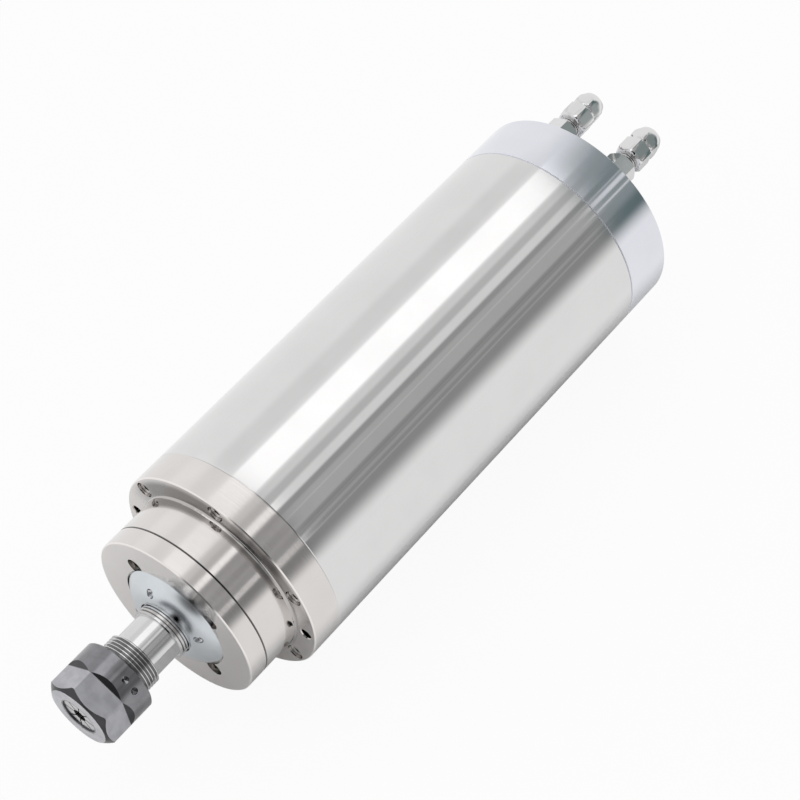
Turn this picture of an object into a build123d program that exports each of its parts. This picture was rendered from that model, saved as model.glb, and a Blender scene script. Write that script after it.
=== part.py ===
from build123d import *
import math
import os

# Motor spindle, all sizes in millimetres.
# Y runs along the spindle from the collet nut to the rear cap, and Z is up.
# The front face of the flange is at Y = 0. Angles turn about Y, from +X towards +Z.

# Fits and clearances
assembly_gap = 0.05        # radial, between pieces that are fitted and stay still
running_gap = 0.05         # radial, between pieces that turn or slide on each other
air_gap = 0.5              # radial, between rotor core and stator core
labyrinth_gap = 0.4        # radial, between the shaft and the covers around it
screw_gap = 0.25           # radial, between a screw's shank and its hole
head_sink = 0.4            # a counterbored head lies this far under its face
head_gap = 0.3             # radial, between a screw's head and its counterbore
edge_chamfer = 0.5
seam_chamfer = 0.4
past = 1.0                 # cuts run this far past the faces that they open
same_place = 0.01          # edges nearer than this to a station or a radius lie on it

# Body
body_radius = 50.0
body_length = 241.0
flange_thickness = 15.0
rear_cap_length = 25.0
tube_wall = 9.0
nose_radius = 40.0
nose_length = 18.0
nose_fillet = 1.2
front_spigot_length = 12.0
front_cap_length = 9.3
rear_spigot_length = 5.0
rear_cap_wall = 7.0
rear_cap_skirt = 3.0

# Flange screws and jack holes
flange_screw_inset = 5.0
flange_screw_count = 6
flange_screw_angle = 30.0
flange_screw_length = 30.0
jack_hole_radius = 2.5
jack_hole_mouth = 2.9
jack_hole_depth = 10.0
jack_hole_angle = 0.0

# M4 socket head screw
m4_radius = 2.0
m4_head_radius = 3.5
m4_head_length = 4.0
m4_socket_flats = 3.0
m4_socket_depth = 2.2
head_chamfer_share = 0.1

# Front cap and dust cover
cap_screw_circle = 27.5
cap_screw_count = 4
cap_screw_angle = 45.0
cap_screw_length = 12.0
cap_screw_seat = 2.9
cap_spigot_length = 4.0
cap_bore = 16.2
cover_recess_radius = 25.4
cover_recess_depth = 2.0
cover_edge_gap = 0.5
cover_rim_chamfer = 0.4
cover_rim_height = 2.0
cover_height = 7.8
cover_crown = 1.0
cover_lip = 1.2
cover_screw_circle = 18.5
cover_screw_count = 4
cover_screw_angle = 25.0
cover_screw_radius = 1.0
cover_screw_head_radius = 1.7
cover_screw_head_length = 1.2
cover_screw_length = 6.6
cover_screw_flats = 1.5
cover_screw_socket = 0.7

# Shaft
shaft_shoulder_radius = 14.5
shaft_core_radius = 15.0
shaft_tail_radius = 12.0
shaft_neck_radius = 11.0
shaft_neck_length = 12.7
wrench_flats = 20.0
wrench_flat_angle = 5.0
thread_radius = 12.5
thread_pitch = 1.5
thread_depth = 0.92
thread_turns = 17
thread_shown = 9.3         # thread left bare behind the collet nut
thread_flank_share = 0.4   # share of the pitch that each flank takes
ring_groove_count = 4
ring_groove_pitch = 1.5
ring_groove_depth = 0.7
ring_groove_width = 0.5
ring_shown = 4.2           # grooved part of the shaft left bare by the dust cover
ring_drop = 0.1
shaft_relief_radius = 5.0
shaft_relief_length = 22.0
shaft_tail_length = 1.0     # past the rear lock nut

# Collet, a 16 degree taper with a 60 degree front cone
collet_length = 31.5
collet_big_radius = 10.5
collet_half_angle = 8.0
collet_land = 0.9
collet_land_gap = 0.25
collet_groove_radius = 8.9
collet_groove_width = 2.0
collet_front_radius = 8.2
collet_cone_length = 2.9
collet_cone_angle = 30.0
collet_bore_radius = 3.0
collet_grip_length = 13.0
collet_relief = 1.2
collet_web = 0.8
collet_tail_room = 2.5
collet_slot_count = 8
collet_slot_width = 0.6
collet_slot_length = 24.0
collet_recess = 0.7

# Collet nut
nut_radius = 17.0
nut_flats = 30.0
nut_length = 23.7
nut_collar_length = 11.8
nut_face_radius = 14.1
nut_chamfer_length = 2.6
nut_thread_length = 16.9
nut_face_bore = 8.5
nut_face_land = 0.2
nut_flat_angle = 10.0
balance_hole_radius = 1.55
balance_hole_depth = 0.6      # to the start of the drill's point
balance_point_depth = 0.9
balance_hole_offset = 5.2
balance_hole_angles = (37.5, 57.5)

# Front bearings, a pair of angular contact bearings 25 x 47 x 12
front_bearing_bore = 12.5
front_bearing_radius = 23.5
front_bearing_width = 12.0
front_spacer_length = 4.0
front_ball_radius = 3.1
front_ball_count = 12

# Rear bearings, a pair of angular contact bearings 15 x 32 x 9
rear_bearing_bore = 7.5
rear_bearing_radius = 16.0
rear_bearing_width = 9.0
rear_spacer_length = 2.0
rear_ball_radius = 2.3
rear_ball_count = 10

race_share = 0.588         # thickness of each race over half the height between bore and outer face
cage_wall = 0.8
cage_side = 0.75
cage_pocket_length = 4.8
ball_gap = 0.06
housing_shoulder = 4.0
shoulder_step = 3.0

# Lock nuts
lock_nut_length = 7.0
front_lock_nut_wall = 3.1
rear_lock_nut_wall = 4.0
lock_nut_slots = 4
lock_nut_slot_width = 4.0
lock_nut_slot_depth = 1.6

# Stator and rotor
jacket_wall = 6.0
jacket_groove_count = 9
jacket_groove_width = 11.0
jacket_groove_depth = 3.2
o_ring_radius = 1.25
o_ring_squeeze = 0.15
o_ring_inset = 6.0
o_ring_groove_share = 1.2
stack_length = 110.0
stator_bore = 20.0
stator_slot_count = 12
stator_slot_width = 5.4
stator_slot_height = 9.0
stator_mouth_width = 2.0
stator_tooth_tip = 1.6
winding_inset = 0.3
end_turn_length = 12.0
end_turn_round = 2.0
end_turn_swell = 1.5
end_turn_lap = 0.5
end_ring_length = 7.0
end_ring_wall = 3.6
end_ring_drop = 0.6
rotor_bar_count = 18
rotor_bar_radius = 1.4

# Rear bearing housing
rear_housing_length = 25.0
rear_hub_wall = 6.0
rear_web = 8.0
passage_wall = 3.1
spring_height = 2.0
spring_thickness = 0.8
spring_edge = 0.3
spring_lap = 0.2
lead_hole_radius = 6.0
rear_screw_inset = 5.0
rear_screw_count = 6
rear_screw_angle = 30.0
rear_screw_length = 32.0

# Water fittings
fitting_inset = 12.5
fitting_spread = 49.2
fitting_flats = 13.0
fitting_hex_length = 9.0
fitting_neck_shown = 3.3     # between the hexagon and the hose nut
fitting_thread_radius = 4.8
fitting_thread_length = 7.0
fitting_washer_radius = 7.2
fitting_washer_length = 1.5
fitting_neck_radius = 4.6
fitting_neck_length = 5.0    # inside the hose nut
fitting_barb_radius = 3.0
fitting_barb_drop = 0.5
fitting_barb_length = 5.0
hex_round = 0.9
hex_round_length = 0.5
fitting_bore = 1.9
water_passage_radius = 1.9
port_boss_radius = 9.0
hose_nut_flats = 13.0
hose_nut_length = 18.2
hose_nut_turn = 18.0
hose_nut_round = 2.2
hose_nut_round_length = 3.8
hose_nut_dome = 8.0
hose_nut_bulge = 0.7
hose_nut_face = 5.0
hose_radius = 4.0
hose_gap = 0.4
ferrule_length = 5.0
ferrule_wall = 0.9
ferrule_gap = 0.35

# Power connector, a round four pin receptacle on a square plate
connector_circle = 22.0
connector_angle = -90.0
connector_plate = 25.0
connector_plate_thickness = 2.5
connector_plate_corner = 3.0
connector_screw_spacing = 18.0
connector_screw_radius = 1.5
connector_screw_head_radius = 2.6
connector_screw_head_length = 1.8
connector_screw_length = 9.0
connector_screw_flats = 2.0
connector_screw_socket = 1.0
connector_shell_radius = 9.5
connector_shell_wall = 1.3
connector_shell_length = 12.0
connector_thread_inset = 3.0
connector_thread_pitch = 1.2
connector_thread_width = 0.6
connector_thread_depth = 0.35
connector_insert_depth = 4.0
connector_insert_tail = 9.0
connector_pin_radius = 1.1
connector_pin_circle = 4.6
connector_pin_length = 7.0
connector_pin_tail = 4.0
connector_pin_count = 4
connector_pin_angle = 45.0
lead_radius = 1.2
lead_bend = 2.5
lead_pitch = 2.9
lead_slant = 3.0

# Stations along Y worked out from the sizes above
tube_bore = body_radius - tube_wall
flange_screw_circle = body_radius - flange_screw_inset
rear_screw_circle = body_radius - rear_screw_inset
fitting_circle = body_radius - fitting_inset
fitting_angles = (90.0 - fitting_spread / 2, 90.0 + fitting_spread / 2)
rear_cap_bore = tube_bore - rear_cap_skirt
water_passage_circle = tube_bore - jacket_wall / 2
passage_ring_bore = water_passage_circle - water_passage_radius - passage_wall
rear_hub_radius = rear_bearing_radius + rear_hub_wall
nose_front = -nose_length
cap_front = nose_front - front_cap_length
cap_floor = cap_front + cover_recess_depth
cover_front = cap_floor - cover_height
shaft_neck_station = cover_front - ring_shown
tube_front = flange_thickness
tube_rear = body_length - rear_cap_length
spigot_rear = tube_front + front_spigot_length
front_bearing_station = nose_front + cap_spigot_length
front_bearing_pitch = front_bearing_width + front_spacer_length
front_stack_end = front_bearing_station + front_bearing_width + front_bearing_pitch
lock_nut_station = front_bearing_station - lock_nut_length
rear_plug_station = tube_rear - rear_spigot_length
rear_housing_station = rear_plug_station - rear_housing_length
spring_station = rear_housing_station + shoulder_step
rear_bearing_station = spring_station + spring_height
rear_bearing_pitch = rear_bearing_width + rear_spacer_length
rear_stack_end = rear_bearing_station + rear_bearing_width + rear_bearing_pitch
stack_middle = (spigot_rear + rear_housing_station) / 2
stack_front = stack_middle - stack_length / 2
stack_rear = stack_middle + stack_length / 2
jacket_radius = tube_bore - assembly_gap
jacket_bore = tube_bore - jacket_wall
stator_radius = jacket_bore - assembly_gap
rotor_radius = stator_bore - air_gap
thread_rear = shaft_neck_station - shaft_neck_length
shaft_front = thread_rear - thread_pitch * thread_turns
nut_rear = thread_rear - thread_shown
nut_front = nut_rear - nut_length
collet_front = nut_front + collet_recess
collet_shoulder = collet_front + collet_cone_length + collet_groove_width
collet_land_end = collet_shoulder + collet_land
cavity_wall_station = body_length - rear_cap_wall
fitting_seat = body_length + fitting_washer_length
fitting_hex_end = fitting_seat + fitting_hex_length
hose_nut_seat = fitting_hex_end + fitting_neck_shown
fitting_neck_end = hose_nut_seat + fitting_neck_length
ferrule_bore = hose_radius + assembly_gap
ferrule_radius = ferrule_bore + ferrule_wall
ferrule_end = fitting_neck_end + ferrule_length


def spot(radius, angle):
    """Place across the axis, as X and Z, of a point on a circle about Y."""
    turn = math.radians(angle)
    return radius * math.cos(turn), radius * math.sin(turn)


def ring_spots(radius, count, first):
    """Places of a pattern of holes evenly round a circle."""
    return [spot(radius, first + 360.0 / count * index) for index in range(count)]


def across(station, at=(0.0, 0.0)):
    """Plane across the axis at a station, with its origin on the axis or at another place."""
    return Plane(origin=(at[0], station, at[1]), x_dir=(1, 0, 0), z_dir=(0, 1, 0))


def end_rims(piece, station):
    """Round edges of a piece at a station."""
    circles = piece.edges().filter_by(GeomType.CIRCLE)
    return [edge for edge in circles if abs(edge.center().Y - station) < same_place]


def turned(outline):
    """Solid of revolution about Y from an outline of (radius, station) points."""
    return revolve(make_face(Polyline(*outline, close=True)), Axis.Y)


def rod(radius, start, end, at=(0.0, 0.0)):
    """Cylinder parallel to Y between two stations."""
    middle = Pos(at[0], (start + end) / 2, at[1])
    return middle * Rot(90, 0, 0) * Cylinder(radius, end - start)


def pipe(outer, inner, start, end, at=(0.0, 0.0)):
    """Straight tube parallel to Y."""
    return rod(outer, start, end, at) - rod(inner, start - past, end + past, at)


def cone(start_radius, end_radius, start, end, at=(0.0, 0.0)):
    """Cone parallel to Y whose radius changes from the first station to the second."""
    height = end - start
    return across(start, at) * Pos(0, 0, height / 2) * Cone(start_radius, end_radius, height)


def prism(across_flats, start, end, at=(0.0, 0.0), turn=0.0):
    """Hexagonal bar parallel to Y with its first flat facing an angle."""
    hexagon = Rot(0, 0, 30.0 - turn) * RegularPolygon(across_flats / 2, 6, major_radius=False)
    return extrude(across(start, at) * hexagon, end - start)


def flared(across_flats, start, rise, turn=0.0):
    """Hexagonal bar that widens at 45 degrees, where a cutter ran out of its flats."""
    hexagon = Rot(0, 0, 30.0 - turn) * RegularPolygon(across_flats / 2, 6, major_radius=False)
    return extrude(across(start) * hexagon, rise, taper=-45)


def group(pieces):
    """One node made of separate solids."""
    return Compound([solid for piece in pieces for solid in piece.solids()])


def joined(pieces):
    """One solid from pieces that touch."""
    return Part() + list(pieces)


def cap_screw(head_radius, head_length, radius, length, flats, depth, seat, at, faces_rear=False):
    """Socket head screw whose head sits at a station, on its front side or on its rear side."""
    side = 1.0 if faces_rear else -1.0
    top = seat + side * head_length
    head = rod(head_radius, min(seat, top), max(seat, top), at)
    tip = seat - side * length
    shank = rod(radius, min(seat, tip), max(seat, tip), at)
    floor = top - side * depth
    socket = prism(flats, min(top, floor), max(top, floor), at)
    return chamfer(end_rims(head, top), head_radius * head_chamfer_share) - socket + shank


def m4_screw(length, seat, at, faces_rear=False):
    """M4 socket head screw."""
    return cap_screw(m4_head_radius, m4_head_length, m4_radius, length, m4_socket_flats,
                     m4_socket_depth, seat, at, faces_rear)


def flange_seat():
    """Station of the flange screws' seats, with the heads just under the flange face."""
    return m4_head_length + head_sink


def rear_seat():
    """Station of the rear cap screws' seats."""
    return body_length - m4_head_length - head_sink


def cap_seat():
    """Station of the front cap screws' seats."""
    return nose_front - cap_screw_seat


def body_tube():
    """Outer steel tube between the flange and the rear cap."""
    tube = turned([(tube_bore, tube_front), (body_radius - seam_chamfer, tube_front),
                   (body_radius, tube_front + seam_chamfer), (body_radius, tube_rear - seam_chamfer),
                   (body_radius - seam_chamfer, tube_rear), (tube_bore, tube_rear)])
    front_depth = flange_seat() + flange_screw_length + past
    rear_depth = rear_seat() - rear_screw_length - past
    for at in ring_spots(flange_screw_circle, flange_screw_count, flange_screw_angle):
        tube -= rod(m4_radius + assembly_gap, tube_front - past, front_depth, at)
    for at in ring_spots(rear_screw_circle, rear_screw_count, rear_screw_angle):
        tube -= rod(m4_radius + assembly_gap, rear_depth, tube_rear + past, at)
    return tube


def front_housing():
    """Flange ring, nose and front bearing seat in one piece."""
    seat = front_bearing_radius + assembly_gap
    shoulder = front_bearing_radius - shoulder_step
    spigot = tube_bore - assembly_gap
    body = turned([
        (seat, nose_front), (nose_radius - seam_chamfer, nose_front),
        (nose_radius, nose_front + seam_chamfer), (nose_radius, 0),
        (body_radius - edge_chamfer, 0), (body_radius, edge_chamfer),
        (body_radius, tube_front - seam_chamfer), (body_radius - seam_chamfer, tube_front),
        (spigot, tube_front), (spigot, spigot_rear), (spigot - housing_shoulder, spigot_rear),
        (spigot - housing_shoulder, front_stack_end + housing_shoulder),
        (shoulder, front_stack_end + housing_shoulder), (shoulder, front_stack_end), (seat, front_stack_end)])
    corner = [rim for rim in end_rims(body, 0) if abs(rim.radius - nose_radius) < same_place]
    body = fillet(corner, nose_fillet)
    for at in ring_spots(flange_screw_circle, flange_screw_count, flange_screw_angle):
        body -= rod(m4_head_radius + head_gap, -past, flange_seat(), at)
        body -= rod(m4_radius + screw_gap, 0, tube_front + past, at)
    for at in ring_spots(flange_screw_circle, 2, jack_hole_angle):
        body -= rod(jack_hole_radius, -past, jack_hole_depth, at)
        body -= cone(jack_hole_mouth + past, jack_hole_radius, -past, jack_hole_mouth - jack_hole_radius, at)
    for at in ring_spots(cap_screw_circle, cap_screw_count, cap_screw_angle):
        body -= rod(m4_radius + assembly_gap, nose_front - past, cap_seat() + cap_screw_length + past, at)
    return body


def front_cap():
    """Cap that holds the front bearings, with the recess for the dust cover."""
    spigot = front_bearing_radius - assembly_gap
    body = turned([
        (cap_bore, cap_floor), (cover_recess_radius, cap_floor), (cover_recess_radius, cap_front),
        (nose_radius - edge_chamfer, cap_front), (nose_radius, cap_front + edge_chamfer),
        (nose_radius, nose_front - seam_chamfer), (nose_radius - seam_chamfer, nose_front),
        (spigot, nose_front), (spigot, front_bearing_station),
        (spigot - shoulder_step, front_bearing_station), (cap_bore, nose_front)])
    for at in ring_spots(cap_screw_circle, cap_screw_count, cap_screw_angle):
        body -= rod(m4_head_radius + head_gap, cap_front - past, cap_seat(), at)
        body -= rod(m4_radius + screw_gap, cap_seat() - past, nose_front + past, at)
    for at in ring_spots(cover_screw_circle, cover_screw_count, cover_screw_angle):
        body -= rod(cover_screw_radius + assembly_gap, cap_floor - past, nose_front + past, at)
    return body


def cover_profile():
    """Outline of the dust cover: a flat rim, a crowned face and a short lip round the shaft."""
    rim = cover_recess_radius - cover_edge_gap
    bore = front_bearing_bore + labyrinth_gap
    rim_front = cap_floor - cover_rim_height
    lip = bore + cover_lip
    middle = ((rim + lip) / 2, (rim_front + cover_front) / 2 - cover_crown)
    side_end = (rim, rim_front + cover_rim_chamfer)
    face_start = (rim - cover_rim_chamfer, rim_front)
    edges = [Line((bore, cap_floor), (rim, cap_floor)), Line((rim, cap_floor), side_end),
             Line(side_end, face_start), ThreePointArc(face_start, middle, (lip, cover_front)),
             Line((lip, cover_front), (bore, cover_front)), Line((bore, cover_front), (bore, cap_floor))]
    return make_face(Curve() + edges)


def cover_face(radius):
    """Station of the dust cover's crowned face at a radius."""
    ray = Line((radius, cover_front - past), (radius, cap_floor))
    return (cover_profile() & ray).bounding_box().min.Y


def cover_seat():
    """Station of the dust cover screws' seats, sunk in the crowned face."""
    return cover_face(cover_screw_circle) + cover_screw_head_length + head_sink


def dust_cover():
    """Pale conical cover in the cap's recess, around the shaft."""
    body = revolve(cover_profile(), Axis.Y)
    for at in ring_spots(cover_screw_circle, cover_screw_count, cover_screw_angle):
        body -= rod(cover_screw_head_radius + screw_gap, cover_front - past, cover_seat(), at)
        body -= rod(cover_screw_radius + screw_gap, cover_seat() - past, cap_floor + past, at)
    return body


def cover_screw(at):
    """Small socket screw of the dust cover."""
    return cap_screw(cover_screw_head_radius, cover_screw_head_length, cover_screw_radius,
                     cover_screw_length, cover_screw_flats, cover_screw_socket, cover_seat(), at)


def bearing_sizes(front):
    """Bore, outer radius, width and ball radius of the front or rear bearings."""
    if front:
        return front_bearing_bore, front_bearing_radius, front_bearing_width, front_ball_radius
    return rear_bearing_bore, rear_bearing_radius, rear_bearing_width, rear_ball_radius


def bearing_stations(front):
    """Stations where the two bearings of a pair start."""
    if front:
        return front_bearing_station, front_bearing_station + front_bearing_pitch
    return rear_bearing_station, rear_bearing_station + rear_bearing_pitch


def ball_groove(front, station):
    """Ring that the balls sweep, with its running clearance."""
    bore, radius, width, ball = bearing_sizes(front)
    return Pos(0, station + width / 2, 0) * Rot(90, 0, 0) * Torus((bore + radius) / 2, ball + ball_gap)


def race_lands(front):
    """Radii of the inner race's and the outer race's lands, between which the cage runs."""
    bore, radius, width, ball = bearing_sizes(front)
    height = (radius - bore) / 2 * race_share
    return bore + height, radius - height


def bearing_race(front, outer):
    """Outer or inner race of a bearing pair, as two rings."""
    bore, radius, width, ball = bearing_sizes(front)
    inner_land, outer_land = race_lands(front)
    rings = []
    for station in bearing_stations(front):
        if outer:
            ring = pipe(radius, outer_land, station, station + width)
        else:
            ring = pipe(inner_land, bore, station, station + width)
        rings.append(ring - ball_groove(front, station))
    return group(rings)


def bearing_balls(front):
    """Balls of a bearing pair."""
    bore, radius, width, ball = bearing_sizes(front)
    count = front_ball_count if front else rear_ball_count
    balls = []
    for station in bearing_stations(front):
        for x, z in ring_spots((bore + radius) / 2, count, 0.0):
            balls.append(Pos(x, station + width / 2, z) * Sphere(ball))
    return group(balls)


def bearing_cages(front):
    """Cages of a bearing pair, each a ring with a round pocket for every ball."""
    bore, radius, width, ball = bearing_sizes(front)
    count = front_ball_count if front else rear_ball_count
    pitch_radius = (bore + radius) / 2
    cages = []
    for station in bearing_stations(front):
        middle = station + width / 2
        cage = pipe(pitch_radius + cage_wall / 2, pitch_radius - cage_wall / 2,
                    station + cage_side, station + width - cage_side)
        for index in range(count):
            pocket = Rot(0, 90, 0) * Cylinder(ball + ball_gap, cage_pocket_length)
            cage -= Rot(0, 360.0 / count * index, 0) * Pos(pitch_radius, middle, 0) * pocket
        cages.append(cage)
    return group(cages)


def cooling_jacket():
    """Aluminium sleeve with ring channels for the water and a groove for a seal at each end."""
    body = pipe(jacket_radius, jacket_bore, spigot_rear, rear_housing_station)
    length = rear_housing_station - spigot_rear
    margin = 2 * o_ring_inset
    pitch = (length - 2 * margin) / jacket_groove_count
    channel_floor = jacket_radius - jacket_groove_depth
    for index in range(jacket_groove_count):
        start = spigot_rear + margin + pitch * (index + 0.5) - jacket_groove_width / 2
        body -= pipe(jacket_radius + past, channel_floor, start, start + jacket_groove_width)
    depth = 2 * o_ring_radius - o_ring_squeeze
    half_width = o_ring_radius * o_ring_groove_share
    for station in (spigot_rear + o_ring_inset, rear_housing_station - o_ring_inset):
        body -= pipe(jacket_radius + past, tube_bore - depth, station - half_width, station + half_width)
    last = spigot_rear + margin + pitch * (jacket_groove_count - 0.5)
    for angle in fitting_angles:
        at = spot(water_passage_circle, angle)
        body -= rod(water_passage_radius, last, rear_housing_station + past, at)
    return body


def jacket_seals():
    """The two O-rings of the cooling jacket."""
    rings = []
    for station in (spigot_rear + o_ring_inset, rear_housing_station - o_ring_inset):
        outline = Pos(tube_bore - o_ring_radius + o_ring_squeeze / 2, station)
        face = outline * Circle(o_ring_radius - o_ring_squeeze)
        rings.append(revolve(face, Axis.Y))
    return group(rings)


def stator_slots(grow):
    """Faces of the stator's slots, made smaller by an inset for the winding."""
    outer = stator_bore + stator_tooth_tip + stator_slot_height
    height = stator_slot_height - 2 * grow
    pocket = Pos(outer - grow - height / 2, 0) * Rectangle(height, stator_slot_width - 2 * grow)
    mouth_middle = Pos(stator_bore + stator_tooth_tip / 2, 0)
    mouth = mouth_middle * Rectangle(stator_tooth_tip + past, stator_mouth_width)
    shape = pocket if grow > 0 else pocket + mouth
    return [Rot(0, 0, 360.0 / stator_slot_count * index) * shape for index in range(stator_slot_count)]


def stator_core():
    """Laminated ring with slots for the windings."""
    section = Circle(stator_radius) - Circle(stator_bore)
    for slot in stator_slots(0.0):
        section -= slot
    return extrude(across(stack_front) * section, stack_length)


def stator_windings():
    """Copper in the slots, joined by the end turns at both ends of the stack."""
    inner = stator_bore + stator_tooth_tip + winding_inset
    outer = inner + stator_slot_height + end_turn_swell
    ends = []
    for start in (stack_front - end_turn_length, stack_rear):
        ring = pipe(outer, inner, start, start + end_turn_length)
        ends.append(fillet(ring.edges().filter_by(GeomType.CIRCLE), end_turn_round))
    bars = [extrude(across(stack_front - end_turn_lap) * slot, stack_length + 2 * end_turn_lap)
            for slot in stator_slots(winding_inset)]
    return joined(ends + bars)


def rear_bearing_housing():
    """Plate behind the stator that carries the rear bearings and passes the water and the leads."""
    seat = rear_bearing_radius + assembly_gap
    web = rear_housing_station + rear_web
    body = turned([
        (seat - shoulder_step, rear_housing_station), (jacket_radius, rear_housing_station),
        (jacket_radius, rear_plug_station), (passage_ring_bore, rear_plug_station),
        (passage_ring_bore, web), (rear_hub_radius, web), (rear_hub_radius, rear_plug_station),
        (seat, rear_plug_station), (seat, spring_station), (seat - shoulder_step, spring_station)])
    for angle in fitting_angles:
        at = spot(water_passage_circle, angle)
        body -= rod(water_passage_radius, rear_housing_station - past, rear_plug_station + past, at)
    body -= rod(lead_hole_radius, rear_housing_station - past, web + past, lead_spot())
    return body


def lead_spot():
    """Place of the hole that the motor leads pass, between the hub and the ring around it."""
    return spot((rear_hub_radius + passage_ring_bore) / 2, connector_angle)


def preload_spring():
    """Conical disc spring that loads the rear bearings."""
    outer = rear_bearing_radius - spring_edge
    inner = race_lands(False)[1] - spring_lap
    spring_rear = spring_station + spring_height
    return turned([(inner, spring_station), (inner + spring_edge, spring_station),
                   (outer, spring_rear - spring_thickness), (outer, spring_rear),
                   (outer - spring_edge, spring_rear), (inner, spring_station + spring_thickness)])


def rear_cap():
    """Rear cap with its spigot, the wiring space, two water ports and the connector opening."""
    spigot = tube_bore - assembly_gap
    body = turned([
        (0, cavity_wall_station), (0, body_length), (body_radius - edge_chamfer, body_length),
        (body_radius, body_length - edge_chamfer), (body_radius, tube_rear + seam_chamfer),
        (body_radius - seam_chamfer, tube_rear), (spigot, tube_rear), (spigot, rear_plug_station),
        (rear_cap_bore, rear_plug_station), (rear_cap_bore, cavity_wall_station)])
    for angle in fitting_angles:
        boss_end = cavity_wall_station + past
        boss = rod(port_boss_radius, rear_plug_station, boss_end, spot(fitting_circle, angle))
        body += boss & rod(spigot, rear_plug_station, boss_end)
    for angle in fitting_angles:
        depth = body_length - fitting_thread_length
        port = spot(fitting_circle, angle)
        body -= rod(fitting_thread_radius + assembly_gap, depth - past, body_length + past, port)
        passage = spot(water_passage_circle, angle)
        body -= rod(water_passage_radius, rear_plug_station - past, depth, passage)
    for at in ring_spots(rear_screw_circle, rear_screw_count, rear_screw_angle):
        body -= rod(m4_head_radius + head_gap, rear_seat(), body_length + past, at)
        body -= rod(m4_radius + screw_gap, tube_rear - past, body_length, at)
    inner = cavity_wall_station - past
    at = spot(connector_circle, connector_angle)
    body -= rod(connector_shell_radius - connector_shell_wall, inner, body_length + past, at)
    for place in connector_screw_spots():
        body -= rod(connector_screw_radius + assembly_gap, inner, body_length + past, place)
    return body


def connector_screw_spots():
    """Places of the four screws of the connector plate."""
    x, z = spot(connector_circle, connector_angle)
    half = connector_screw_spacing / 2
    return [(x + i * half, z + k * half) for i in (-1, 1) for k in (-1, 1)]


def connector_shell():
    """Square plate and round shell of the power receptacle."""
    at = spot(connector_circle, connector_angle)
    outline = RectangleRounded(connector_plate, connector_plate, connector_plate_corner)
    plate = extrude(across(body_length, at) * outline, connector_plate_thickness)
    end = body_length + connector_plate_thickness + connector_shell_length
    body = plate + rod(connector_shell_radius, body_length, end, at)
    body -= rod(connector_shell_radius - connector_shell_wall, body_length - past, end + past, at)
    for place in connector_screw_spots():
        body -= rod(connector_screw_radius + screw_gap, body_length - past, end, place)
    root = connector_shell_radius - connector_thread_depth
    turns = int((connector_shell_length - connector_thread_inset) / connector_thread_pitch)
    for turn in range(turns):
        start = end - connector_thread_pitch * (turn + 1)
        body -= pipe(connector_shell_radius + past, root, start, start + connector_thread_width, at)
    return body


def connector_insert():
    """Insulating insert that holds the pins."""
    at = spot(connector_circle, connector_angle)
    radius = connector_shell_radius - connector_shell_wall - assembly_gap
    front = body_length + connector_insert_depth
    body = rod(radius, front - connector_insert_tail, front, at)
    tail = front - connector_insert_tail - past
    for place in connector_pin_spots():
        body -= rod(connector_pin_radius + assembly_gap, tail, front + past, place)
    return body


def connector_pin_spots():
    """Places of the connector's pins."""
    x, z = spot(connector_circle, connector_angle)
    ring = ring_spots(connector_pin_circle, connector_pin_count, connector_pin_angle)
    return [(x + px, z + pz) for px, pz in ring]


def connector_pins():
    """Round contact pins with rounded tips."""
    front = body_length + connector_insert_depth
    pins = []
    for x, z in connector_pin_spots():
        pin = rod(connector_pin_radius, front - connector_insert_tail - connector_pin_tail,
                  front + connector_pin_length, (x, z))
        pins.append(pin + Pos(x, front + connector_pin_length, z) * Sphere(connector_pin_radius))
    return group(pins)


def motor_leads():
    """Insulated leads from the winding's end turn through the rear housing to the pins."""
    front = stack_rear + end_turn_length
    end = body_length + connector_insert_depth - connector_insert_tail - connector_pin_tail
    bend = (rear_housing_station + rear_web + end) / 2
    hole_x, hole_z = lead_spot()
    leads = []
    for index, (x, z) in enumerate(connector_pin_spots()):
        sx = hole_x + (index % 2 - 0.5) * lead_pitch
        sz = hole_z + (index // 2 - 0.5) * lead_pitch
        route = FilletPolyline((sx, front, sz), (sx, bend, sz), (x, bend + lead_slant, z), (x, end, z),
                               radius=lead_bend)
        leads.append(sweep(across(front, (sx, sz)) * Circle(lead_radius), path=route))
    return group(leads)


def fitting_body(angle):
    """Water fitting: thread, hexagon, threaded neck and hose barb, bored through."""
    at = spot(fitting_circle, angle)
    depth = body_length - fitting_thread_length
    barb_end = fitting_neck_end + fitting_barb_length
    hexagon = prism(fitting_flats, fitting_seat, fitting_hex_end, at, angle)
    hexagon &= turned_bar(corner_radius(fitting_flats), fitting_seat, fitting_hex_end, at)
    body = hexagon + rod(fitting_thread_radius, depth, fitting_seat + past, at)
    body += rod(fitting_neck_radius, fitting_hex_end - past, fitting_neck_end, at)
    tip_radius = fitting_barb_radius - fitting_barb_drop
    body += cone(fitting_barb_radius, tip_radius, fitting_neck_end, barb_end, at)
    return body - rod(fitting_bore, depth - past, barb_end + past, at)


def corner_radius(flats):
    """Radius of a hexagon's corners from its size across flats."""
    return flats / math.cos(math.radians(30)) / 2


def turned_bar(radius, start, end, at):
    """Bar whose two ends are chamfered, which rounds the corners of a hexagon."""
    small = radius - hex_round
    low = start + hex_round_length
    high = end - hex_round_length
    bar = rod(radius, low, high, at)
    return cone(small, radius, start, low, at) + bar + cone(radius, small, high, end, at)


def fitting_washer(angle):
    """Sealing washer under the hexagon of a water fitting."""
    at = spot(fitting_circle, angle)
    return pipe(fitting_washer_radius, fitting_thread_radius + assembly_gap, body_length, fitting_seat, at)


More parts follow.
